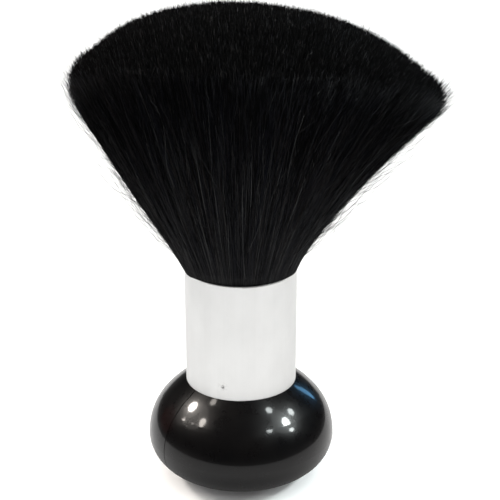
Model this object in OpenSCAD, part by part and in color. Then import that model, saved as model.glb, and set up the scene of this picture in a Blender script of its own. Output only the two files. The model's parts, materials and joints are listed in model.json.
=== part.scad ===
// Neck duster brush: a wide fan of soft hair in a metal ferrule, above a round weighted base
// that is both the grip and the foot. Millimetres, +Z up. The origin is the centre of the flat
// that the brush stands on, the fan spreads along X and its face looks along -Y.

/* [Base] */
// Widest diameter of the round base
base_d = 64.5; // [60:0.5:70]
// Height of the widest ring above the table
belly_z = 16; // [14:0.5:16]
// Height of the lower half oval, before its foot is cut flat
belly_drop = 17.8; // [17.5:0.1:19]
// Height of the upper half oval above the widest ring
shoulder_rise = 25.8; // [25:0.1:28]
// Nose radius of the lower half oval
belly_nose = 11.8; // [10:0.1:14]
// Nose radius of the upper half oval
shoulder_nose = 20.3; // [19:0.1:23]
// Wall of the two base mouldings
base_wall = 2.4; // [2:0.1:3]
// Direction of the seam between the base mouldings, degrees from +X
seam_angle = 215; // [180:1:270]
// Width of the fine groove that the base mouldings leave along the seam
seam_w = 0.3; // [0.2:0.1:0.6]
// Weight that steadies the base: diameter
ballast_d = 44; // [30:1:45]
// Weight that steadies the base: thickness
ballast_h = 7; // [5:0.5:9]

/* [Ferrule] */
// Outer diameter of the ferrule
ferrule_d = 38; // [36:0.5:40]
// Height of the ferrule
ferrule_h = 42; // [40:1:48]
// Wall of the ferrule
ferrule_wall = 0.8; // [0.6:0.1:1]
// Number of punched stakes that hold the ferrule
stakes = 3; // [2:1:6]
// Direction of the first stake, degrees from +X
stake_angle = 251; // [0:1:359]
// Height of the stakes above the ferrule's lower edge
stake_rise = 5; // [4:0.5:6]

/* [Hair] */
// Reach of the fan to the left, at the tips
fan_left = 56; // [45:1:60]
// Reach of the fan to the right, at the tips
fan_right = 68; // [50:1:70]
// Thickness of the fan at the tips
fan_thick = 54; // [44:1:60]
// Free height of the hair above the ferrule, in the middle
hair_h = 88; // [70:1:90]
// How much lower the tips are at the left corner
left_drop = 22; // [10:1:30]
// How much lower the tips are at the right corner
right_drop = 28; // [10:1:30]
// How much lower the tips are along the two faces
face_drop = 14; // [5:1:20]

/* [Knot] */
// Outer height of the cup that holds the root of the hair
cup_h = 16; // [14:1:18]
// Diameter of the binding cord
cord_d = 1.2; // [0.8:0.1:1.4]
// Turns of the binding cord
cord_turns = 4; // [3:1:4]

/* [Fastening] */
// Thread diameter of the tie bolt
bolt_d = 5; // [4:0.5:5]
// Width of the nut across its flats
nut_af = 8; // [7:0.5:8.5]
// Height of the nut
nut_h = 4; // [3:0.5:4.5]

/* [Hidden] */
$fn = 96;
eps = 0.01;

// heights of the base and of the ferrule
ferrule_r = ferrule_d / 2;
ferrule_bore_r = ferrule_r - ferrule_wall;
shoulder_crown = crown_radius(base_d / 2, shoulder_rise, shoulder_nose);
seat_z = belly_z + shoulder_rise - shoulder_crown + sqrt(pow(shoulder_crown, 2) - pow(ferrule_r, 2));
mouth_z = seat_z + ferrule_h;
ferrule_edge_r = 0.3;

// spigot of the base inside the ferrule, and the two webs that the bolt draws together
spigot_r = ferrule_bore_r - 0.1;
spigot_z = seat_z + 12;
web_t = 3;
bolt_hole_d = bolt_d + 0.6;
groove_w = 2.6;
groove_depth = 0.8;
stake_z = seat_z + stake_rise;

// pad under the base, set in a shallow recess, and the well above it for the bolt's head
pad_d = 25;
pad_t = 1.2;
pad_proud = 0.4;
pad_clear = 0.1;
well_d = 16;
well_h = 9;
well_wall = 2.5;

// depth of the groove along the seam, and the pins that line up the two base mouldings
seam_depth = 0.25;
pin_d = 3;
pin_len = 3;
pin_clear = 0.1;
pin_end_gap = 0.4;
pin_boss_d = 6;
pin_boss_len = 6;
pin_at = base_d / 2 - base_wall - pin_boss_d / 2 + 0.1;

// stack on the tie bolt
ballast_z = well_h + web_t;
spacer_d = 9;
washer_t = 1;
spring_t = 1.2;
head_d = 9.5;
head_h = 3.4;
socket_af = 3;
socket_depth = 2;
head_z = well_h - washer_t - spring_t;
pitch = 0.8;
thread_depth = 0.4;
thread_turns = 12;

// cup, nut and root of the hair
cup_r = ferrule_bore_r - 0.15;
cup_wall = 1.5;
cup_floor = 3;
cup_z = spigot_z;
cup_top = cup_z + cup_h;
boss_r = 7;
boss_top = cup_z + cup_floor + 5.5;
nut_z = boss_top - nut_h - 0.2;
bolt_tip = nut_z + nut_h + 1;
resin_top = cup_z + 11;
root_r = cup_r - cup_wall - 0.15;
waist_r = root_r - 0.3;
hair_r = ferrule_bore_r - 0.3;
cord_z = cup_top + 1.6;
cord_pitch = 1.05 * cord_d;
waist_bottom = cord_z - 1;
waist_top = cord_z + 5.5;
flare_end = mouth_z - 1.5;

// shape of the fan: how round the tip line is, and how soon the outer hairs splay
left_curve = 3.3;
right_curve = 2.5;
left_splay = 1.32;
right_splay = 0.7;
splay_height = 0.35;
fan_sides = 64;
fan_rings = 12;
cap_rings = 7;

// Radius of the flat arc of a half oval with half width a, height b and nose radius r.
function crown_radius(a, b, r) = (pow(a - r, 2) + b * b - r * r) / (2 * (b - r));

// Quarter of an oval, drawn as one flat arc and one nose arc that meet without a corner.
module quarter_oval(a, b, r) {
    crown = crown_radius(a, b, r);
    lean = atan2(a - r, crown - b);
    far = 2 * crown;
    intersection() {
        union() {
            intersection() {
                translate([0, b - crown]) circle(crown, $fn = 256);
                translate([0, b - crown]) polygon([[0, 0], [far * sin(lean), far * cos(lean)], [0, far]]);
            }
            translate([a - r, 0]) circle(r, $fn = 192);
        }
        square([a + 1, b + 1]);
    }
}

// Right half of the base's upright section, drawn in from its surface by inset.
module oval_section(inset) {
    half_w = base_d / 2 - inset;
    translate([0, belly_z]) {
        quarter_oval(half_w, shoulder_rise - inset, shoulder_nose - inset);
        mirror([0, 1]) quarter_oval(half_w, belly_drop - inset, belly_nose - inset);
    }
}

// Rectangle in a section, from radius r0 to r1 and from height z0 to z1.
module band(r0, r1, z0, z1) {
    translate([r0, z0]) square([r1 - r0, z1 - z0]);
}

// Section of the hollow base: shell, spigot with its stake groove, pad recess, well and bolt holes.
module base_section() {
    difference() {
        union() {
            intersection() {
                oval_section(0);
                band(0, base_d, pad_proud, seat_z);
            }
            band(0, spigot_r, seat_z - 1, spigot_z);
        }
        difference() {
            union() {
                intersection() {
                    oval_section(base_wall);
                    band(0, base_d, pad_proud + base_wall, spigot_z - web_t);
                }
                band(0, spigot_r - base_wall, belly_z, spigot_z - web_t);
            }
            band(0, well_d / 2 + well_wall, 0, ballast_z);
        }
        band(0, pad_d / 2 + pad_clear, -1, pad_t);
        band(0, well_d / 2, -1, well_h);
        band(0, bolt_hole_d / 2, -1, spigot_z + 1);
        band(spigot_r - groove_depth, spigot_r + 1, stake_z - groove_w / 2, stake_z + groove_w / 2);
    }
}

// Cylinders across the seam on both sides of the axis; side is 1 or -1.
module seam_pins(side, d, length) {
    for (x = [-pin_at, pin_at])
        translate([x, 0, belly_z]) rotate([-90 * side, 0, 0]) cylinder(d = d, h = length, $fn = 32);
}

// Thin slab along the seam, less the base's inside, so that it only cuts the outer skin.
module seam_slab() {
    difference() {
        translate([-base_d / 2 - 1, -seam_w / 2, -1]) cube([base_d + 2, seam_w, seat_z + 1 + eps]);
        rotate_extrude() oval_section(seam_depth);
    }
}

// One half of the base; side is 1 or -1 across the seam.
module base_half(side) {
    difference() {
        rotate([0, 0, side > 0 ? 0 : 180]) rotate_extrude(angle = 180) base_section();
        seam_slab();
    }
    seam_pins(side, pin_boss_d, pin_boss_len);
}

// The half on the seam's far side carries the pins.
module base_shell_right() {
    color("#0d0d10") rotate([0, 0, seam_angle]) {
        base_half(1);
        seam_pins(-1, pin_d, pin_len);
    }
}

// The other half has a socket for each pin.
module base_shell_left() {
    color("#0d0d10") rotate([0, 0, seam_angle]) difference() {
        base_half(-1);
        seam_pins(-1, pin_d + 2 * pin_clear, pin_len + pin_end_gap);
    }
}

// Stuck-on pad that the brush stands on; it hides the well.
module foot_pad() {
    color("#1a1a1c") cylinder(d = pad_d, h = pad_t);
}

// Steel disc on the well's roof, clamped by the spacer tube.
module ballast_disc() {
    chamfer = 0.8;
    r = ballast_d / 2;
    color("#8b8d90") translate([0, 0, ballast_z]) rotate_extrude() {
        polygon([[bolt_hole_d / 2, 0], [r - chamfer, 0], [r, chamfer], [r, ballast_h - chamfer],
                 [r - chamfer, ballast_h], [bolt_hole_d / 2, ballast_h]]);
    }
}

// Tube that carries the bolt's load from the ballast up to the spigot's web.
module spacer_tube() {
    low = ballast_z + ballast_h;
    color("#c4c6c8") rotate_extrude() band(bolt_hole_d / 2, spacer_d / 2, low, spigot_z - web_t);
}

// Ring with a square section, for the two washers.
module ring(inner_d, outer_d, z, t) {
    translate([0, 0, z]) rotate_extrude() band(inner_d / 2, outer_d / 2, 0, t);
}

module flat_washer() {
    color("#c4c6c8") ring(bolt_d + 0.3, 2 * bolt_d, well_h - washer_t, washer_t);
}

// Split ring under the bolt's head.
module spring_washer() {
    slit = 0.8;
    color("#9a9c9f") difference() {
        ring(bolt_d + 0.1, head_d - 0.3, head_z, spring_t);
        translate([0, 0, head_z + spring_t / 2]) rotate([20, 0, 0])
            translate([0, -slit / 2, -5]) cube([head_d, slit, 10]);
    }
}

// Bolt from below, with its socket head in the well and its thread in the nut.
module tie_bolt() {
    r = bolt_d / 2;
    root = r - thread_depth;
    thread_z = bolt_tip - thread_turns * pitch;
    color("#b9bbbe") difference() {
        rotate_extrude() {
            band(0, root, head_z - eps, bolt_tip);
            band(0, r, head_z - eps, thread_z);
            band(0, head_d / 2, head_z - head_h, head_z);
            for (turn = [0 : thread_turns - 1])
                translate([0, thread_z + turn * pitch])
                    polygon([[0, 0], [root, 0], [r, pitch / 2], [root, pitch], [0, pitch]]);
        }
        translate([0, 0, head_z - head_h - eps])
            cylinder(d = socket_af / cos(30), h = socket_depth, $fn = 6);
    }
}

// Hexagon nut, caught in the cup's boss.
module tie_nut() {
    color("#b9bbbe") translate([0, 0, nut_z]) difference() {
        cylinder(d = nut_af / cos(30), h = nut_h, $fn = 6);
        translate([0, 0, -1]) cylinder(d = bolt_d + 0.1, h = nut_h + 2);
    }
}

// Moulded cup that holds the root of the hair and draws down on the spigot.
module knot_cup() {
    color("#2b2c30") difference() {
        rotate_extrude() difference() {
            band(0, cup_r, cup_z, cup_top);
            band(boss_r, cup_r - cup_wall, cup_z + cup_floor, cup_top + 1);
            band(0, boss_r + eps, boss_top, cup_top + 1);
            band(0, bolt_hole_d / 2, cup_z - 1, nut_z + 1);
        }
        translate([0, 0, nut_z]) cylinder(d = (nut_af + 0.1) / cos(30), h = nut_h + 2, $fn = 6);
    }
}

// Resin cast under the hair, round and over the boss.
module resin_plug() {
    color("#b98d3e") rotate_extrude() difference() {
        band(0, cup_r - cup_wall, cup_z + cup_floor, resin_top);
        band(0, boss_r, cup_z, boss_top);
        band(0, bolt_hole_d / 2, cup_z, bolt_tip + 0.3);
    }
}

// Points of ring number k on a tube that winds round the axis, one ring per step of the helix.
function cord_ring(k, steps, r, sides) = let (turn = 360 * k / steps)
    [for (i = [0 : sides - 1]) let (a = 360 * i / sides, rr = r + cord_d / 2 * cos(a))
        [rr * cos(turn), rr * sin(turn), cord_z + cord_pitch * k / steps + cord_d / 2 * sin(a)]];

// Closed solid from a stack of rings with n points each, first ring and last ring flat.
module ring_stack(rings) {
    n = len(rings[0]);
    last = len(rings) - 1;
    polyhedron(
        points = [for (ring = rings) each ring],
        faces = concat(
            [[for (i = [0 : n - 1]) i]],
            [for (k = [0 : last - 1], i = [0 : n - 1])
                let (a = k * n + i, b = k * n + (i + 1) % n) [a, a + n, b + n, b]],
            [[for (i = [n - 1 : -1 : 0]) last * n + i]]),
        convexity = 6);
}

// Waxed cord wound round the waist of the hair.
module binding_cord() {
    steps = 24;
    sides = 8;
    wind_r = waist_r + cord_d / 2 + 0.05;
    color("#d8d2bd") ring_stack([for (k = [0 : steps * cord_turns]) cord_ring(k, steps, wind_r, sides)]);
}

// Drawn sleeve with rounded edges; each stake is a dent outside and a bump inside.
module ferrule() {
    e = ferrule_edge_r;
    stake_depth = 0.5;
    color("#dcdddb") difference() {
        union() {
            rotate_extrude($fn = 192) {
                for (r = [ferrule_bore_r + e, ferrule_r - e], z = [seat_z + e, mouth_z - e])
                    translate([r, z]) circle(e, $fn = 32);
                band(ferrule_bore_r + e, ferrule_r - e, seat_z, mouth_z);
                band(ferrule_bore_r, ferrule_r, seat_z + e, mouth_z - e);
            }
            stake_cones(ferrule_bore_r - stake_depth, stake_depth + ferrule_wall / 2, 0.5, 1.1);
        }
        stake_cones(ferrule_r - stake_depth, stake_depth + 0.2, 0.15, 0.85);
    }
}

// Cones that point at the axis, one at each stake, from radius r0 outwards.
module stake_cones(r0, length, tip_r, mouth_r) {
    for (k = [0 : stakes - 1])
        rotate([0, 0, stake_angle + k * 360 / stakes]) translate([r0, 0, stake_z])
            rotate([0, 90, 0]) cylinder(h = length, r1 = tip_r, r2 = mouth_r, $fn = 32);
}

// Height of the hair tips over a point of the fan's plan.
function tip_z(x, y) = mouth_z + hair_h - face_drop * pow(2 * y / fan_thick, 2)
    - (x < 0 ? left_drop * pow(-x / fan_left, left_curve) : right_drop * pow(x / fan_right, right_curve));

// Point of the fan's rim in direction a, drawn in towards the middle by the share s.
function tip_point(a, s) = let (x = s * (cos(a) < 0 ? fan_left : fan_right) * cos(a),
                                y = s * fan_thick / 2 * sin(a)) [x, y, tip_z(x, y)];

// Point at the share t of an outer hair, which bends from the ferrule's mouth to the rim.
function hair_point(a, t) = let (
    root = [hair_r * cos(a), hair_r * sin(a), mouth_z],
    reach = tip_point(a, 1) - root,
    splay = splay_height * (left_splay + (right_splay - left_splay) * (1 + cos(a)) / 2),
    bend = root + [reach.x * splay, reach.y * splay, reach.z * splay_height])
    pow(1 - t, 2) * root + 2 * t * (1 - t) * bend + t * t * tip_point(a, 1);

// Flat ring of the bound root, with radius r at height z.
function root_ring(r, z) = [for (i = [0 : fan_sides - 1])
    let (a = 360 * i / fan_sides) [r * cos(a), r * sin(a), z]];

// Bound root, free hair and domed end, as one closed bundle.
module bristle_tuft() {
    root = [[root_r, resin_top], [root_r, cup_top], [waist_r, waist_bottom], [waist_r, waist_top],
            [hair_r, flare_end]];
    directions = [for (i = [0 : fan_sides - 1]) 360 * i / fan_sides];
    color("#14151a") ring_stack(concat(
        [for (step = root) root_ring(step[0], step[1])],
        [for (k = [0 : fan_rings]) [for (a = directions) hair_point(a, k / fan_rings)]],
        [for (k = [1 : cap_rings]) [for (a = directions) tip_point(a, cos(89 * k / cap_rings))]]));
}

bristle_tuft();
binding_cord();
resin_plug();
knot_cup();
tie_nut();
ferrule();
base_shell_left();
base_shell_right();
ballast_disc();
spacer_tube();
tie_bolt();
flat_washer();
spring_washer();
foot_pad();
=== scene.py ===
"""Looks of the neck duster brush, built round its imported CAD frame. Metres, +Z up, the fan along X."""

import json
import math

import bpy
import numpy as np
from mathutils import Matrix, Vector

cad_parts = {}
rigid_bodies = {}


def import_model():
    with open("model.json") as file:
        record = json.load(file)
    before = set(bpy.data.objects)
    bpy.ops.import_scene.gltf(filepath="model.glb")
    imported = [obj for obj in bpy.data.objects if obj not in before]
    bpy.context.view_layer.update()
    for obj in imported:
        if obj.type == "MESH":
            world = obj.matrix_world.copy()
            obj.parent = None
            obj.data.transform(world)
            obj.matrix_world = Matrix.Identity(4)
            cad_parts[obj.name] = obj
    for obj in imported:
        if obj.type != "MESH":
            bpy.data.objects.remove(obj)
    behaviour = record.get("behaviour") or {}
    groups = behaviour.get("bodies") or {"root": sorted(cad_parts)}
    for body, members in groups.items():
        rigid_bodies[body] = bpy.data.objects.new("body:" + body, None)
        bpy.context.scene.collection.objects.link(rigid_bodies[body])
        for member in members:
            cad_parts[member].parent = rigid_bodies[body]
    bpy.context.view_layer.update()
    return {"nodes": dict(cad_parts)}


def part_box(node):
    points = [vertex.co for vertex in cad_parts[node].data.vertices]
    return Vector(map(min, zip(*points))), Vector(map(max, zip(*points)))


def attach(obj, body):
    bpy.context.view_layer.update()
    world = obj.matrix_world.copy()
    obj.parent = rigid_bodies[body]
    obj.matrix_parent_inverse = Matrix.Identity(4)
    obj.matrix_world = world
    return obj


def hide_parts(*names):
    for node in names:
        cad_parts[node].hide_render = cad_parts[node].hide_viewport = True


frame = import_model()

MM = 0.001
nodes = frame["nodes"]
scene = bpy.context.scene
rng = np.random.default_rng(40417)

# ---------------------------------------------------------------- camera

CAMERA_AT = Vector((0.0, -0.507, 0.2948))
CAMERA_AIM = Vector((0.0031, 0.0, 0.0838))
camera_data = bpy.data.cameras.new("camera")
camera_data.lens = 117.45
camera_data.sensor_width = 36.0
camera_data.clip_start, camera_data.clip_end = 0.02, 20.0
camera = bpy.data.objects.new("camera", camera_data)
scene.collection.objects.link(camera)
camera.location = CAMERA_AT
camera.rotation_euler = (CAMERA_AIM - CAMERA_AT).to_track_quat("-Z", "Y").to_euler()
scene.camera = camera
scene.view_settings.view_transform = "Standard"

# ---------------------------------------------------------------- sizes that come from the frame

tuft_low, tuft_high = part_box("bristle_tuft")
ferrule_low, ferrule_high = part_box("ferrule")
cup_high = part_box("knot_cup")[1]
cord_low, cord_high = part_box("binding_cord")
FERRULE_R = ferrule_high.x
MOUTH_Z = ferrule_high.z
ROOT_Z = tuft_low.z
HAIR_R = FERRULE_R - 1.1 * MM        # inside the sleeve's wall and its rounded edge
HAIR_H = tuft_high.z - MOUTH_Z
FAN_LEFT = -tuft_low.x
FAN_RIGHT = tuft_high.x
FAN_HALF = tuft_high.y

# the CAD fan's own shape numbers
LEFT_DROP, RIGHT_DROP, FACE_DROP = 22 * MM, 28 * MM, 14 * MM
LEFT_CURVE, RIGHT_CURVE = 3.3, 2.5
LEFT_SPLAY, RIGHT_SPLAY, SPLAY_HEIGHT = 1.32, 0.70, 0.35


def tip_z(x, y):
    """Height of the hair tips over a point of the fan's plan."""
    left = LEFT_DROP * np.clip(-x / FAN_LEFT, 0, None) ** LEFT_CURVE
    right = RIGHT_DROP * np.clip(x / FAN_RIGHT, 0, None) ** RIGHT_CURVE
    return MOUTH_Z + HAIR_H - FACE_DROP * (y / FAN_HALF) ** 2 - left - right


def hair_point(a, s, t):
    """Points at the share t of hairs in direction a, where s is 0 in the middle and 1 on the outside."""
    c, w = np.cos(a), np.sin(a)
    tip_x = s * np.where(c < 0, FAN_LEFT, FAN_RIGHT) * c
    tip_y = s * FAN_HALF * w
    root_x, root_y = s * HAIR_R * c, s * HAIR_R * w
    reach_z = tip_z(tip_x, tip_y) - MOUTH_Z
    splay = SPLAY_HEIGHT * (LEFT_SPLAY + (RIGHT_SPLAY - LEFT_SPLAY) * (1 + c) / 2)
    u, v = 2 * t * (1 - t), t * t
    x = root_x + (tip_x - root_x) * (u * splay + v)
    y = root_y + (tip_y - root_y) * (u * splay + v)
    z = MOUTH_Z + reach_z * (u * SPLAY_HEIGHT + v)
    return np.stack([x, y, z], -1)


def along_fan(a, s):
    """Place across the fan's width: -1 at the left end of the rim, 0 in the middle, 1 at the right end."""
    return s * np.cos(a)


def smooth(value):
    """0 below 0, 1 above 1, and a smooth step between."""
    value = np.clip(value, 0, 1)
    return value * value * (3 - 2 * value)


def crown(a, s):
    """How far hairs run past the plain fan: the middle of the tip line stands a little proud."""
    rise, middle, width = 1.2 * MM, -3 * MM, 16 * MM
    x = along_fan(a, s) * np.where(np.cos(a) < 0, FAN_LEFT, FAN_RIGHT)
    return rise * np.exp(-((x - middle) / width) ** 2)


def corner_rise(a, s):
    """How much higher the cut ends stand near the two corners, where they are blunt and ragged."""
    left_rise, right_rise = 3.2, 2.4
    left_start, right_start, run = 0.84, 0.86, 0.12
    at = along_fan(a, s)
    ragged = 0.7 + 0.45 * np.sin(83 * a + 31 * s) * np.sin(47 * a + 1.3)
    left = left_rise * smooth((-at - left_start) / run)
    return (left + right_rise * smooth((at - right_start) / run)) * ragged * MM


# the ferrule's punched stakes: their number, the first one's direction, and their height above its lower edge
STAKE_COUNT, STAKE_ANGLE, STAKE_RISE = 3, math.radians(251), 5 * MM


def stake_at(k):
    angle = STAKE_ANGLE + k * math.tau / STAKE_COUNT
    return FERRULE_R * math.cos(angle), FERRULE_R * math.sin(angle), ferrule_low.z + STAKE_RISE


STAKES = [stake_at(k) for k in range(STAKE_COUNT)]

# ---------------------------------------------------------------- materials


# places of the colour sockets on a Mix node, whose names it also gives to its number sockets
MIX_FIRST, MIX_SECOND, MIX_RESULT = 6, 7, 2


class Graph:
    """A material's node tree with short calls for the nodes used here."""

    def __init__(self, name, color, **values):
        self.material = bpy.data.materials.new(name)
        self.material.use_nodes = True
        self.tree = self.material.node_tree
        self.shader = self.tree.nodes["Principled BSDF"]
        self.shader.inputs["Base Color"].default_value = (*color, 1)
        for key, value in values.items():
            self.shader.inputs[key.replace("_", " ")].default_value = value
        self.material.diffuse_color = (*color, 1)

    def node(self, kind, **inputs):
        made = self.tree.nodes.new("ShaderNode" + kind)
        for key, value in inputs.items():
            socket = made.inputs[key.replace("_", " ")]
            if isinstance(value, bpy.types.NodeSocket):
                self.tree.links.new(value, socket)
            else:
                socket.default_value = value
        return made

    def place(self, scale):
        """Object coordinates, stretched by scale."""
        coordinates = self.node("TexCoord")
        return self.node("Mapping", Vector=coordinates.outputs["Object"], Scale=scale).outputs["Vector"]

    def noise(self, scale, detail=4.0, roughness=0.5):
        """Noise from 0 to 1 whose grain is 1 / scale along each axis."""
        return self.node("TexNoise", Vector=self.place(scale), Scale=1.0, Detail=detail,
                         Roughness=roughness).outputs["Fac"]

    def spread(self, value, low, high, start=0.3, end=0.7):
        """value between start and end, spread over low to high."""
        made = self.node("MapRange", Value=value)
        for key, number in (("From Min", start), ("From Max", end), ("To Min", low), ("To Max", high)):
            made.inputs[key].default_value = number
        return made.outputs["Result"]

    def blend(self, value, *stops):
        """Colour ramp over value from (place, colour) stops."""
        made = self.node("ValToRGB", Fac=value)
        ramp = made.color_ramp
        for i, (place, color) in enumerate(stops):
            stop = ramp.elements[i] if i < 2 else ramp.elements.new(place)
            stop.position, stop.color = place, (*color, 1)
        return made.outputs["Color"]

    def math(self, operation, first, second):
        """An operation on two values, such as MULTIPLY."""
        made = self.node("Math")
        made.operation = operation
        self.tree.links.new(first, made.inputs[0])
        self.tree.links.new(second, made.inputs[1])
        return made.outputs[0]

    def distance(self, place, origin):
        """How far the surface is from a point."""
        made = self.node("VectorMath")
        made.operation = "DISTANCE"
        self.tree.links.new(place, made.inputs[0])
        made.inputs[1].default_value = origin
        return made.outputs["Value"]

    def mix(self, share, first, second):
        """The colour first, and towards the fixed colour second by share."""
        made = self.node("Mix")
        made.data_type = "RGBA"
        self.tree.links.new(share, made.inputs["Factor"])
        self.tree.links.new(first, made.inputs[MIX_FIRST])
        made.inputs[MIX_SECOND].default_value = (*second, 1)
        return made.outputs[MIX_RESULT]

    def feed(self, key, value):
        self.tree.links.new(value, self.shader.inputs[key])

    def bump(self, height, distance, strength=1.0):
        made = self.node("Bump", Height=height, Distance=distance, Strength=strength)
        self.feed("Normal", made.outputs["Normal"])


def gloss_black():
    """The base's moulding: near black under a clear gloss, with a faint haze."""
    g = Graph("gloss_black", (0.002, 0.002, 0.0023), Roughness=0.3, Specular_IOR_Level=0.18,
              Coat_Weight=1.0, Coat_Roughness=0.08, Coat_IOR=1.3)
    haze = g.noise((60, 60, 60), 5)
    g.feed("Base Color", g.blend(haze, (0.3, (0.0012, 0.0012, 0.0015)), (0.75, (0.003, 0.0025, 0.0025))))
    g.feed("Roughness", g.spread(g.noise((220, 220, 220), 6, 0.65), 0.24, 0.36))
    return g.material


def satin_aluminium():
    """The ferrule: fine upright streaks, a slight mottle, and patchy darker colour in and round each stake.
    """
    g = Graph("satin_aluminium", (0.86, 0.86, 0.85), Roughness=0.5, Metallic=0.85)
    streaks = g.noise((1400, 1400, 16), 3)
    mottle = g.noise((90, 90, 60), 4)
    metal = g.blend(mottle, (0.3, (0.84, 0.84, 0.83)), (0.7, (0.90, 0.90, 0.89)))
    here = g.node("TexCoord").outputs["Object"]
    stake_blotches = g.spread(g.noise((1300, 1300, 1300), 2), 0.25, 1.0, 0.42, 0.6)
    # colour goes darker in each stake's dimple and in a ring round it, in patches
    for stake in STAKES:
        away = g.distance(here, stake)
        stake_core_dark = g.spread(away, 0.4, 0.0, 0.35 * MM, 0.9 * MM)
        stake_ring_dark = g.spread(away, 0.12, 0.0, 0.9 * MM, 2.2 * MM)
        patchy = g.math("MULTIPLY", stake_ring_dark, g.spread(stake_blotches, 0.0, 1.0, 0.75, 1.0))
        stake_dark = g.math("MAXIMUM", g.math("MULTIPLY", stake_core_dark, stake_blotches), patchy)
        metal = g.mix(stake_dark, metal, (0.05, 0.045, 0.04))
    g.feed("Base Color", metal)
    g.feed("Roughness", g.spread(streaks, 0.42, 0.56))
    g.bump(streaks, 0.00002, 0.5)
    return g.material


def steel(name, light, dark, low, high, scale):
    """Bare or plated steel: colour from dark to light and roughness from low to high over its grain."""
    g = Graph(name, light, Roughness=(low + high) / 2, Metallic=1.0)
    grain = g.noise(scale, 5)
    g.feed("Base Color", g.blend(grain, (0.3, dark), (0.7, light)))
    g.feed("Roughness", g.spread(grain, low, high))
    g.bump(grain, 0.00003, 0.4)
    return g.material


def dark_plastic():
    g = Graph("dark_plastic", (0.03, 0.03, 0.034), Roughness=0.5)
    grain = g.noise((1800, 1800, 1800), 3)
    mottle = g.noise((150, 150, 150))
    g.feed("Base Color", g.blend(mottle, (0.3, (0.024, 0.024, 0.027)), (0.7, (0.036, 0.036, 0.04))))
    g.feed("Roughness", g.spread(grain, 0.42, 0.62))
    g.bump(grain, 0.00004, 0.5)
    return g.material


def pad_rubber():
    g = Graph("pad_rubber", (0.025, 0.025, 0.026), Roughness=0.75)
    grain = g.noise((1200, 1200, 1200), 4)
    g.feed("Base Color", g.blend(grain, (0.3, (0.018, 0.018, 0.019)), (0.7, (0.034, 0.033, 0.033))))
    g.feed("Roughness", g.spread(grain, 0.65, 0.9))
    g.bump(grain, 0.00006, 0.6)
    return g.material


def amber_resin():
    g = Graph("amber_resin", (0.55, 0.32, 0.08), Roughness=0.15)
    flow = g.noise((120, 120, 260), 5)
    g.feed("Base Color", g.blend(flow, (0.3, (0.42, 0.21, 0.04)), (0.7, (0.66, 0.42, 0.13))))
    g.feed("Roughness", g.spread(flow, 0.08, 0.25))
    g.bump(flow, 0.0001, 0.3)
    return g.material


def waxed_cord():
    g = Graph("waxed_cord", (0.68, 0.62, 0.48), Roughness=0.7)
    fibre = g.noise((2600, 2600, 900), 4)
    g.feed("Base Color", g.blend(fibre, (0.3, (0.52, 0.46, 0.33)), (0.7, (0.76, 0.70, 0.56))))
    g.feed("Roughness", g.spread(fibre, 0.6, 0.85))
    g.bump(fibre, 0.00005, 0.6)
    return g.material


def hair_mass():
    """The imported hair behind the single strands: fine dark streaks that run with the hair."""
    g = Graph("hair_mass", (0.004, 0.004, 0.0045), Roughness=0.6, Specular_IOR_Level=0.06)
    streaks = g.noise((1500, 1500, 40), 5, 0.6)
    g.feed("Base Color", g.blend(streaks, (0.3, (0.0012, 0.0012, 0.0015)), (0.72, (0.007, 0.007, 0.008))))
    g.feed("Roughness", g.spread(streaks, 0.5, 0.8))
    g.bump(streaks, 0.0003, 0.8)
    return g.material


# colour, roughness and gleam of the single hairs; the last shade is that of the cut ends, with little gleam,
# and darker than the rest as painted shade for the fan's top
HAIR_SHADES = {
    "hair_black": ((0.0022, 0.0022, 0.0026), 0.42, 0.09),
    "hair_blue_black": ((0.0045, 0.0048, 0.0075), 0.36, 0.20),
    "hair_charcoal": ((0.0125, 0.0125, 0.0138), 0.45, 0.20),
    "hair_brown_black": ((0.0105, 0.0082, 0.0078), 0.42, 0.18),
    "hair_soft_grey": ((0.034, 0.035, 0.035), 0.45, 0.34),
    "hair_cut_end_painted_shade": ((0.0014, 0.0014, 0.0015), 0.6, 0.02),
}


def hair_shades():
    """One material for each shade, in their order."""
    return [Graph(name, color, Roughness=roughness, Specular_IOR_Level=gleam).material
            for name, (color, roughness, gleam) in HAIR_SHADES.items()]


def dress(obj, material):
    """Gives every face of obj one material."""
    if obj.material_slots:
        for place in obj.material_slots:
            place.material = material
    else:
        obj.data.materials.append(material)


zinc = steel("zinc_steel", (0.66, 0.67, 0.69), (0.52, 0.53, 0.55), 0.22, 0.38, (500, 500, 500))
SPRING_STEEL = ("spring_steel", (0.38, 0.38, 0.40), (0.24, 0.24, 0.26), 0.3, 0.45, (700, 700, 700))
RAW_STEEL = ("raw_steel", (0.44, 0.44, 0.45), (0.27, 0.26, 0.26), 0.35, 0.6, (120, 120, 260))
black = gloss_black()
for node, material in {
    "ferrule": satin_aluminium(),
    "base_shell_left": black,
    "base_shell_right": black,
    "foot_pad": pad_rubber(),
    "knot_cup": dark_plastic(),
    "resin_plug": amber_resin(),
    "tie_nut": zinc,
    "tie_bolt": zinc,
    "flat_washer": zinc,
    "spacer_tube": zinc,
    "spring_washer": steel(*SPRING_STEEL),
    "ballast_disc": steel(*RAW_STEEL),
}.items():
    dress(nodes[node], material)

# ---------------------------------------------------------------- strands


def unit(v):
    """Vectors of length 1."""
    return v / np.maximum(np.linalg.norm(v, axis=-1, keepdims=True), 1e-12)


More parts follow.
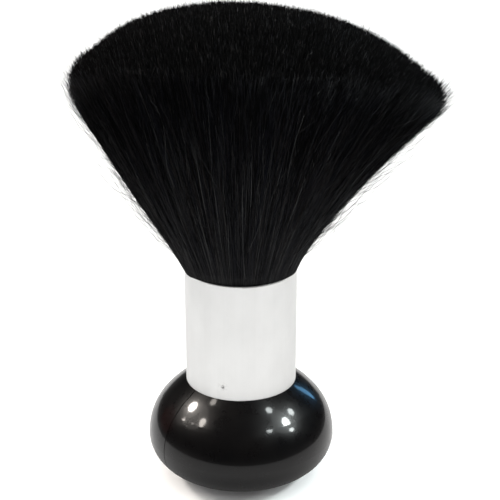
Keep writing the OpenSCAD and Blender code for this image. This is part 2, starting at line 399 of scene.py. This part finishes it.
def mesh_object(name, verts, quads, triangles, materials, indices=None):
    """Object from arrays of points, four-cornered faces and three-cornered faces, smooth all over."""
    me = bpy.data.meshes.new(name)
    me.vertices.add(len(verts))
    me.vertices.foreach_set("co", np.asarray(verts, np.float32).ravel())
    corners = np.concatenate([quads.ravel(), triangles.ravel()]).astype(np.int32)
    me.loops.add(len(corners))
    me.loops.foreach_set("vertex_index", corners)
    me.polygons.add(len(quads) + len(triangles))
    starts = np.concatenate([np.arange(len(quads)) * 4, 4 * len(quads) + np.arange(len(triangles)) * 3])
    me.polygons.foreach_set("loop_start", starts.astype(np.int32))
    for material in materials:
        me.materials.append(material)
    if indices is not None:
        me.polygons.foreach_set("material_index", indices.astype(np.int32))
    me.polygons.foreach_set("use_smooth", np.ones(len(me.polygons), bool))
    me.update(calc_edges=True)
    obj = bpy.data.objects.new(name, me)
    scene.collection.objects.link(obj)
    return obj


def tubes(name, paths, radii, shade, materials, sides=3):
    """Closed tapered tubes along many paths of the same number of points; shade is per tube or per step."""
    n, k, _ = paths.shape
    shade = np.broadcast_to(np.reshape(shade, (n, -1)), (n, k - 1))
    along = unit(np.gradient(paths, axis=1))
    side = unit(np.cross(paths[:, -1] - paths[:, 0], rng.normal(size=(n, 3))))[:, None, :]
    side = unit(side - (side * along).sum(-1, keepdims=True) * along)
    up = np.cross(along, side)
    turn = 2 * np.pi * np.arange(sides) / sides
    ring = (np.cos(turn)[:, None] * side[:, :, None, :] + np.sin(turn)[:, None] * up[:, :, None, :])
    verts = (paths[:, :, None, :] + radii[:, :, None, None] * ring).reshape(-1, 3)
    j = np.arange(sides)
    low = (np.arange(n) * k * sides)[:, None, None] + (np.arange(k - 1) * sides)[:, None] + j
    nxt = low - j + (j + 1) % sides
    quads = np.stack([low, nxt, nxt + sides, low + sides], -1).reshape(-1, 4)
    first = (np.arange(n) * k * sides)[:, None]
    caps = np.concatenate([first + j[::-1], first + (k - 1) * sides + j])
    indices = np.concatenate([np.repeat(shade.ravel(), sides), shade[:, 0], shade[:, -1]])
    return mesh_object(name, verts, quads, caps, materials, indices)


def hair_piece(obj):
    """Hangs obj on the root body and hides the CAD bundle that it stands for."""
    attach(obj, "root")
    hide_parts("bristle_tuft")


def in_pieces(name, count, order, paths, radii, shade):
    """Splits strands into pieces by their order round the brush."""
    ranked = np.argsort(order)
    for i, part in enumerate(np.array_split(ranked, count)):
        hair_piece(tubes(f"{name}_{i + 1}", paths[part], radii[part], shade[part], shades))


def directions(n):
    """Directions round the fan, so that hairs are spread along its rim and round the ferrule."""
    a = np.linspace(-np.pi, np.pi, 2001)
    reach = (FAN_LEFT + FAN_RIGHT) / 2
    rim = np.sqrt((reach * np.sin(a)) ** 2 + (FAN_HALF * np.cos(a)) ** 2)
    share = np.cumsum(rim + 0.5 * rim.mean())
    return np.interp(rng.random(n), share / share[-1], a)


def pick_shades(n, weights):
    """A shade for each of n hairs; weights are in the order of HAIR_SHADES."""
    return rng.choice(len(weights), size=n, p=np.array(weights) / sum(weights))


def painted_shade_ends(shade, t, start, spread):
    """Hair shade of every step: the strand's own one, and from about the share start on a darker one, which
    is painted shade that keeps the fan's upper part dark.
    """
    turn_at = start + rng.normal(0, spread, len(shade))
    middle = (t[:, 1:] + t[:, :-1]) / 2
    black_hair, blue_black, cut_end = 0, 1, len(HAIR_SHADES) - 1
    dark = rng.choice((black_hair, blue_black, cut_end), size=len(shade), p=(0.5, 0.2, 0.3))
    return np.where(middle > turn_at[:, None], dark[:, None], shade[:, None])


shades = hair_shades()
MEAN_LENGTH = 95 * MM        # turns lengths along a hair into shares of it


def outer_hairs(count=30000, points=11, clumps=300, layers=3):
    """Hairs that lie on the outside in clumps, from inside the ferrule's mouth to the tips."""
    stray_share, stray_reach, stray_drop = 0.05, (0.006, 0.022), 240 * MM
    all_clumps = clumps * layers
    clump_a = directions(all_clumps)
    clump_pull = rng.uniform(0.3, 1.6, all_clumps)
    clump_wave = rng.normal(size=(all_clumps, 6))
    of_clump = rng.integers(0, all_clumps, count)
    own = rng.normal(size=(count, 6))
    corner = np.abs(np.cos(clump_a[of_clump])) ** 6
    stray = ((rng.random(all_clumps) < stray_share) * rng.uniform(*stray_reach, all_clumps))[of_clump]

    # where each hair ends: scattered down the faces, closer together and more ragged at the corners
    lowered = rng.gamma(1.6, 4.6 * MM, count) * (1 - corner) + rng.exponential(2.6 * MM, count) * corner
    lowered = np.clip(lowered, 0, 26 * MM) + 1.6 * MM * corner ** 4
    lowered = lowered + stray * rng.uniform(0, stray_drop, count)
    ragged = rng.normal(0, 1.5 * MM, all_clumps)[of_clump] * corner
    tuft = rng.normal(0, 1, (all_clumps, 2))[of_clump] * corner[:, None]
    ends = 1 + (crown(clump_a[of_clump], 1.0) + ragged - lowered) / MEAN_LENGTH
    t = np.linspace(0, 1, points)[None, :] * ends[:, None]

    # direction: the clump's own, its slow waves, and each hair's smaller ones
    wave = clump_wave[of_clump]
    spacing = 2 * np.pi / clumps
    width = spacing * (2.2 * (1 - t) + clump_pull[of_clump][:, None] * t)
    a = clump_a[of_clump][:, None] + own[:, :1] * width
    a = a + 0.034 * t * np.sin(2 * np.pi * ((0.9 + 0.3 * wave[:, 4:5]) * t + wave[:, :1])) * wave[:, 1:2]
    a = a + 0.045 * t ** 1.5 * wave[:, 5:6] + 0.060 * t ** 1.3 * own[:, 1:2]
    a = a + 0.016 * t * np.sin(2 * np.pi * (1.9 * t + own[:, 2:3])) * own[:, 3:4]

    # depth under the surface, from 1 on the outside
    depth = np.clip(rng.exponential(0.016, count), 0, 0.08)[:, None]
    s = 1.002 - depth * (0.3 + 0.7 * t) + 0.006 * wave[:, 2:3] * t ** 1.5 + stray[:, None] * t ** 1.6
    s = s + 0.010 * np.sin(2 * np.pi * (1.4 * t + own[:, 4:5])) * t + 0.014 * tuft[:, :1] * t ** 4
    paths = hair_point(a, s, t)
    paths[:, :, 2] -= 3 * MM * (1 - t) ** 8
    paths[:, :, 2] += 1.3 * MM * tuft[:, 1:] * t ** 5
    thickness = rng.uniform(0.065, 0.11, count)[:, None] * MM
    radii = thickness * (1 - 0.65 * (t / ends[:, None]) ** 2.5)
    # the upper part of each outer hair takes a darker shade: painted shade for the fan's dark top
    shade = painted_shade_ends(pick_shades(count, (40, 21, 23, 11, 5)), t, 0.79, 0.14)
    in_pieces("hair_outer", 10, clump_a[of_clump], paths, radii, shade)


def cut_ends(count=78000, points=4):
    """The cut ends of the hairs inside the fan, which make its top."""
    steps = np.linspace(0, 1, points)[None, :]
    a = rng.uniform(-np.pi, np.pi, count)
    s = np.sqrt(rng.random(count))
    length = rng.uniform(10, 14, count) * MM / MEAN_LENGTH
    end = 1 + (rng.normal(0, 0.4, count) - 0.2) * MM / MEAN_LENGTH + crown(a, s) / MEAN_LENGTH
    droop = rng.exponential(1.8 * MM, count) * s ** 4 + 1.6 * MM * (s * np.abs(np.cos(a))) ** 20
    end -= droop / MEAN_LENGTH
    t = end[:, None] - length[:, None] * np.linspace(1, 0, points)[None, :]
    paths = hair_point(a[:, None], s[:, None], t)
    lean = rng.normal(0, 0.45 * MM, (count, 1, 3)) * steps[:, :, None] ** 1.5
    paths = paths + lean
    paths[:, :, 2] += corner_rise(a, s)[:, None] * np.linspace(0.4, 1, points)[None, :]
    radii = rng.uniform(0.085, 0.125, count)[:, None] * MM * np.array([1.0, 1.0, 0.85, 0.4])[None, :]
    # most cut ends take the darkest shade: painted shade for the fan's top, where light is lost between the
    # ends
    in_pieces("hair_tips", 8, a, paths, radii, pick_shades(count, (12, 1.4, 0.7, 0.6, 0.1, 85)))


def short_ends(count=8000, points=6):
    """Short fine ends that break the outline all over the outside."""
    steps = np.linspace(0, 1, points)[None, :]
    quarter = count // 4
    a = np.concatenate([directions(count // 2), rng.normal(0, 0.5, quarter), rng.normal(np.pi, 0.5, quarter)])
    own = rng.normal(size=(count, 4))
    start = rng.uniform(0.12, 0.9, count)[:, None]
    free = rng.uniform(0.06, 0.17, count)[:, None] * steps
    s = 0.99 + np.abs(own[:, :1]) * 0.13 * free ** 1.1 + 0.008 * own[:, 3:4] * np.sin(30 * free)
    paths = hair_point(a[:, None] + 0.5 * own[:, 1:2] * free, s, np.minimum(start + free, 1.02))
    paths[:, :, 2] -= 6 * MM * np.abs(own[:, 2:3]) * free
    fine = rng.uniform(0.035, 0.055, count)[:, None] * MM
    radii = fine * (1 - 0.7 * steps ** 2)
    in_pieces("hair_fuzz", 2, a, paths, radii, pick_shades(count, (35, 20, 25, 12, 8)))


def hanging_hair(share):
    """Path of the one hair that hangs free below the right side."""
    held = hair_point(np.zeros(1), np.ones(1), np.full(1, 0.3))[0]
    bend, end = held + np.array([10, 0, -1.5]) * MM, held + np.array([-1, 0, -17]) * MM
    u = share.reshape(-1, 1)
    return (1 - u) ** 2 * held + 2 * u * (1 - u) * bend + u * u * end


def loose_hairs(count=1000, points=16):
    """Fine loose hairs that leave the two slanted sides and the faces, arch over and cross each other."""
    sides_share, skin = 0.88, 0.998
    side = rng.random(count)
    a = np.where(side < 0.5, rng.normal(0.0, 0.4, count), rng.normal(np.pi, 0.4, count))
    a = np.where(side > sides_share, directions(count), a)
    t0 = rng.uniform(0.03, 0.92, count)
    start = hair_point(a, skin, t0)

    # three directions at each start: along the hair, out from the fan, and across both
    along = unit(hair_point(a, skin, t0 + 0.01) - start)
    out = np.stack([np.cos(a), np.sin(a), np.zeros(count)], -1)
    out = unit(out - (out * along).sum(-1, keepdims=True) * along)
    across = np.cross(along, out)

    # a few stand far out and are short; the others lie close
    far = rng.random(count) < 0.10
    length = np.where(far, rng.uniform(6, 16, count), rng.uniform(8, 30, count)) * MM
    length = np.minimum(length, (1.03 - t0) * MEAN_LENGTH)
    lift = np.where(far, rng.uniform(0.3, 1.0, count), np.minimum(rng.exponential(0.2, count), 0.7))[:, None]

    # heading at each step, and the path that follows it
    share = np.linspace(0, 1, points)[None, :]
    own = rng.normal(size=(count, 4))
    curl = rng.uniform(0.4, 2.0, count)[:, None]
    lean = lift * (1 - curl * share)
    lean = lean + 0.24 * np.sin(2 * np.pi * (own[:, :1] + (1.2 + 0.5 * own[:, 1:2]) * share))
    slew = 0.2 * own[:, 2:3] + 0.25 * own[:, 3:4] * share
    heading = (np.cos(lean)[:, :, None] * along[:, None, :] + np.sin(lean)[:, :, None] * out[:, None, :]
               + np.sin(slew)[:, :, None] * across[:, None, :])
    stride = unit(heading) * (length / (points - 1))[:, None, None]
    paths = start[:, None, :] + np.cumsum(stride, axis=1) - stride[:, :1]
    paths[0] = hanging_hair(share)
    fine = np.where(far, rng.uniform(0.025, 0.04, count), rng.uniform(0.038, 0.062, count))[:, None] * MM
    radii = fine * (1 - 0.6 * share ** 2)
    hair_piece(tubes("hair_flyaways", paths, radii, pick_shades(count, (40, 25, 20, 10, 5)), shades))


def level_ring(turn, r, z):
    """Round ring of points at one height."""
    return np.stack([r * np.cos(turn), r * np.sin(turn), np.full(len(turn), z)], -1)


def hair_core(sides=256, rings_up=60, cap=26, inset=0.965, cap_inset=5.5 * MM):
    """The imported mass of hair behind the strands, with its bound root inside the ferrule."""
    turn = 2 * np.pi * np.arange(sides) / sides
    cup_r = cup_high.x - 1.65 * MM
    waist_r = cup_r - 0.3 * MM
    rings = [level_ring(turn, r, z) for r, z in (
        (cup_r, ROOT_Z),
        (cup_r, cup_high.z),
        (waist_r, cord_low.z - 0.2 * MM),
        (waist_r, cord_high.z + 0.2 * MM),
        (HAIR_R - 0.5 * MM, MOUTH_Z - 2 * MM))]
    waves = (7, 11, 16, 23, 31, 47, 61)
    ripple = sum(rng.normal() * np.sin(f * turn + rng.uniform(0, 6.3)) for f in waves) / 2.2
    for i in range(rings_up + 1):
        share = i / rings_up
        rings.append(hair_point(turn, inset + 0.008 * ripple * share, np.full(sides, share * 0.955)))

    # the cap: the first few rings blend from the side's last ring into the fan's own top
    blend_rings = 5
    top = rings[-1]
    for i in range(1, cap):
        share = math.cos(math.radians(89.5 * i / cap))
        ring = hair_point(turn, np.full(sides, share * inset), np.full(sides, 1.0))
        ring[:, 2] -= cap_inset
        blend = min(1.0, i / blend_rings)
        rings.append(ring * blend + (top * np.array([share, share, 1])) * (1 - blend))
    rings = np.array(rings)
    count = len(rings)
    j = np.arange(sides)
    low = (np.arange(count - 1) * sides)[:, None] + j
    nxt = (np.arange(count - 1) * sides)[:, None] + (j + 1) % sides
    quads = np.stack([low, nxt, nxt + sides, low + sides], -1).reshape(-1, 4)
    verts = np.concatenate([rings.reshape(-1, 3), [rings[0].mean(0)], [rings[-1].mean(0)]])
    under, over = len(verts) - 2, len(verts) - 1
    last = (count - 1) * sides
    fans = np.concatenate([np.stack([(j + 1) % sides, j, np.full(sides, under)], -1),
                           np.stack([last + j, last + (j + 1) % sides, np.full(sides, over)], -1)])
    hair_piece(mesh_object("hair_mass", verts, quads, fans, [hair_mass()]))


# one stream of random numbers runs through these, so their order sets the hair's shape
outer_hairs()
cut_ends()
short_ends()
loose_hairs()
hair_core()

# ---------------------------------------------------------------- binding cord, three plies laid together

CORD_D = 1.2 * MM
CORD_TURNS = 4
PLIES, PLY_R, PLY_AT, PLY_TWISTS = 3, 0.31 * MM, 0.26 * MM, 105
CORD_STEPS = 1100


def cord_plies():
    """Paths of the plies, twisted round the cord's own line as it winds round the hair."""
    wind_r = cord_high.x - CORD_D / 2
    u = np.linspace(0, 1, CORD_STEPS)
    angle = 2 * np.pi * CORD_TURNS * u
    height = cord_low.z + CORD_D / 2 + (cord_high.z - cord_low.z - CORD_D) * u
    centre = np.stack([wind_r * np.cos(angle), wind_r * np.sin(angle), height], -1)
    radial = np.stack([np.cos(angle), np.sin(angle), np.zeros(CORD_STEPS)], -1)
    upward = np.array([0, 0, 1.0])
    plies = []
    for ply in range(PLIES):
        lay = 2 * np.pi * (ply / PLIES + u * PLY_TWISTS)
        plies.append(centre + PLY_AT * (np.cos(lay)[:, None] * radial + np.sin(lay)[:, None] * upward))
    return np.array(plies)


ply_radii = np.full((PLIES, CORD_STEPS), PLY_R)
cord_piece = tubes("waxed_cord_wound", cord_plies(), ply_radii, np.zeros(PLIES, int), [waxed_cord()], sides=8)
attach(cord_piece, "root")
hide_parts("binding_cord")

# ---------------------------------------------------------------- floor, lights and world


def sheet(name, outline, material):
    """Flat stage piece from its corner points."""
    me = bpy.data.meshes.new(name)
    me.from_pydata(outline, [], [list(range(len(outline)))])
    me.materials.append(material)
    obj = bpy.data.objects.new(name, me)
    scene.collection.objects.link(obj)
    return obj


def painted_light_floor():
    """Paper whose colour follows the light, so that fine hairs show on it: painted light keeps it white near
    the brush, where the brush's shadow falls, and far off, where less light reaches, and painted shade makes
    it greyer between, where the lamps are strongest.
    """
    g = Graph("painted_light_floor", (0.92, 0.92, 0.92), Roughness=0.8, Specular_IOR_Level=0.2)
    reach = g.node("VectorMath")
    reach.operation = "LENGTH"
    g.tree.links.new(g.node("TexCoord").outputs["Object"], reach.inputs[0])
    # grey by distance from the brush: painted light near it and far off, painted shade between
    stops = [(distance, (grey, grey, grey)) for distance, grey in
             ((0.07, 0.92), (0.12, 0.54), (0.25, 0.55), (0.45, 0.62), (0.75, 0.70), (0.98, 0.92))]
    g.feed("Base Color", g.blend(reach.outputs["Value"], *stops))
    g.bump(g.noise((900, 900, 900), 3), 0.00002, 0.2)
    return g.material


def gloss_card_paper():
    """Glow that gloss sees in the floor's place: dark under the brush, a painted shadow, and bright from
    beside it.
    """
    material = bpy.data.materials.new("floor_glow")
    material.use_nodes = True
    tree = material.node_tree
    glow = tree.nodes.new("ShaderNodeEmission")
    glow.inputs["Color"].default_value = (1.0, 0.99, 0.98, 1)
    place = tree.nodes.new("ShaderNodeTexCoord")
    reach = tree.nodes.new("ShaderNodeVectorMath")
    reach.operation = "LENGTH"
    # the glow fades out towards the brush: painted shadow under it
    painted_shadow_fade = tree.nodes.new("ShaderNodeMapRange")
    painted_shadow_fade.interpolation_type = "SMOOTHSTEP"
    for key, value in (("From Min", 0.018), ("From Max", 0.056), ("To Min", 0.04), ("To Max", 0.9)):
        painted_shadow_fade.inputs[key].default_value = value
    tree.links.new(place.outputs["Object"], reach.inputs[0])
    tree.links.new(reach.outputs["Value"], painted_shadow_fade.inputs["Value"])
    tree.links.new(painted_shadow_fade.outputs["Result"], glow.inputs["Strength"])
    tree.links.new(glow.outputs[0], tree.nodes["Material Output"].inputs["Surface"])
    return material


def gloss_card_outline():
    """Half an oval in front of the brush, and straight sides behind it, just under the floor."""
    half_wide, middle_y, half_deep, below = 0.13, -0.005, 0.105, -0.0002
    back_wide, back_y, points = 0.3, 0.8, 33
    front = [(half_wide * math.cos(q), middle_y + half_deep * math.sin(q), below)
             for q in np.linspace(-math.pi, 0, points)]
    return front + [(back_wide, back_y, below), (-back_wide, back_y, below)]


FLOOR = 3.0
floor = sheet("floor", [(-FLOOR, -FLOOR, 0), (FLOOR, -FLOOR, 0), (FLOOR, FLOOR, 0), (-FLOOR, FLOOR, 0)],
              painted_light_floor())
floor.visible_glossy = False
card = sheet("floor_seen_in_gloss", gloss_card_outline(), gloss_card_paper())
card.visible_camera = card.visible_diffuse = card.visible_transmission = card.visible_shadow = False

LAMP_DISTANCE = 0.9
LAMP_AIM_Z = 0.05


def lamp(name, elevation, azimuth, distance, size, power, color, tall=None):
    """Oval lamp that faces the brush; azimuth is from the camera's side towards +X."""
    data = bpy.data.lights.new(name, "AREA")
    data.shape, data.size, data.size_y, data.energy, data.color = "ELLIPSE", size, tall or size, power, color
    e, q = math.radians(elevation), math.radians(azimuth)
    aim = Vector((0, 0, LAMP_AIM_Z))
    obj = bpy.data.objects.new(name, data)
    towards = Vector((math.sin(q) * math.cos(e), -math.cos(q) * math.cos(e), math.sin(e)))
    obj.location = aim + distance * towards
    obj.rotation_euler = (aim - obj.location).to_track_quat("-Z", "Y").to_euler()
    obj.visible_camera = False
    scene.collection.objects.link(obj)
    return obj


WARM, COOL, PLAIN = (1.0, 0.93, 0.86), (0.93, 1.0, 0.99), (1, 1, 1)

# elevation, azimuth, size and power of each lamp in the two groups that show in the base
LAMPS_LEFT = ((41, -103, 0.16, 5.0), (45, -70, 0.12, 1.1), (29, -94, 0.08, 0.5), (62, -95, 0.1, 0.4),
              (36, -80, 0.04, 0.1))
LAMPS_RIGHT = ((40, 77, 0.14, 4.0), (60, 75, 0.11, 0.9), (39, 96, 0.11, 1.0), (43, 46, 0.12, 0.9),
               (27, 74, 0.1, 1.1))
for group, lamps, color in (("left", LAMPS_LEFT, WARM), ("right", LAMPS_RIGHT, COOL)):
    for i, (elevation, azimuth, size, power) in enumerate(lamps):
        lamp(f"lamp_{group}_{i}", elevation, azimuth, LAMP_DISTANCE, size, power, color)
lamp("umbrella_left", 41, -86, 1.1, 0.6, 1.1, WARM)
lamp("umbrella_right", 40, 74, 1.1, 0.6, 1.1, COOL)
lamp("lamp_blue", 16, 137, 0.9, 0.09, 0.35, (0.22, 0.58, 1.0), tall=0.3)
lamp("lamp_red", 8, -112, 1.0, 0.5, 0.06, (1.0, 0.22, 0.18))

sun = bpy.data.lights.new("soft_sky", "SUN")
sun.energy, sun.angle = 2.2, math.radians(100)
sun_object = bpy.data.objects.new("soft_sky", sun)
sun_object.rotation_euler = (math.radians(14), math.radians(-3), 0)
sun_object.visible_camera = sun_object.visible_glossy = False
scene.collection.objects.link(sun_object)

# the lamps pass the ferrule by, and soft panels round the brush light only it, so that its satin is even
all_but_ferrule = bpy.data.collections.new("all_but_ferrule")
all_but_ferrule.objects.link(nodes["ferrule"])
all_but_ferrule.collection_objects[0].light_linking.link_state = "EXCLUDE"
for obj in scene.objects:
    if obj.type == "LIGHT" and obj.name != "soft_sky":
        obj.light_linking.receiver_collection = all_but_ferrule
only_ferrule = bpy.data.collections.new("only_ferrule")
only_ferrule.objects.link(nodes["ferrule"])
PANELS = 8
PANEL_ELEVATION, PANEL_DISTANCE, PANEL_SIZE = -2, 0.45, 0.42
for i in range(PANELS):
    azimuth = -180 + i * 360 / PANELS
    q = math.radians(azimuth)
    power = 0.49 + 0.012 * math.sin(q) + 0.035 * math.cos(q)
    panel = lamp(f"ferrule_panel_{i}", PANEL_ELEVATION, azimuth, PANEL_DISTANCE, PANEL_SIZE, power, PLAIN)
    panel.light_linking.receiver_collection = only_ferrule


def background(tree, color, strength):
    """Light of one colour from all round."""
    made = tree.nodes.new("ShaderNodeBackground")
    made.inputs["Color"].default_value = (*color, 1)
    made.inputs["Strength"].default_value = strength
    return made.outputs[0]


def studio_world():
    """White to the camera, half as bright as light for matt surfaces, and dark in gloss."""
    world = bpy.data.worlds.new("world")
    world.use_nodes = True
    tree = world.node_tree
    ambient = tree.nodes["Background"]
    ambient.inputs["Color"].default_value = (1, 1, 1, 1)
    ambient.inputs["Strength"].default_value = 0.5
    seen = background(tree, (1, 1, 1), 1.0)
    dark = background(tree, (1.0, 0.95, 0.92), 0.02)
    ray = tree.nodes.new("ShaderNodeLightPath")
    by_gloss = tree.nodes.new("ShaderNodeMixShader")
    by_camera = tree.nodes.new("ShaderNodeMixShader")
    tree.links.new(ray.outputs["Is Glossy Ray"], by_gloss.inputs["Fac"])
    tree.links.new(ambient.outputs[0], by_gloss.inputs[1])
    tree.links.new(dark, by_gloss.inputs[2])
    tree.links.new(ray.outputs["Is Camera Ray"], by_camera.inputs["Fac"])
    tree.links.new(by_gloss.outputs[0], by_camera.inputs[1])
    tree.links.new(seen, by_camera.inputs[2])
    tree.links.new(by_camera.outputs[0], tree.nodes["World Output"].inputs["Surface"])
    return world


scene.world = studio_world()
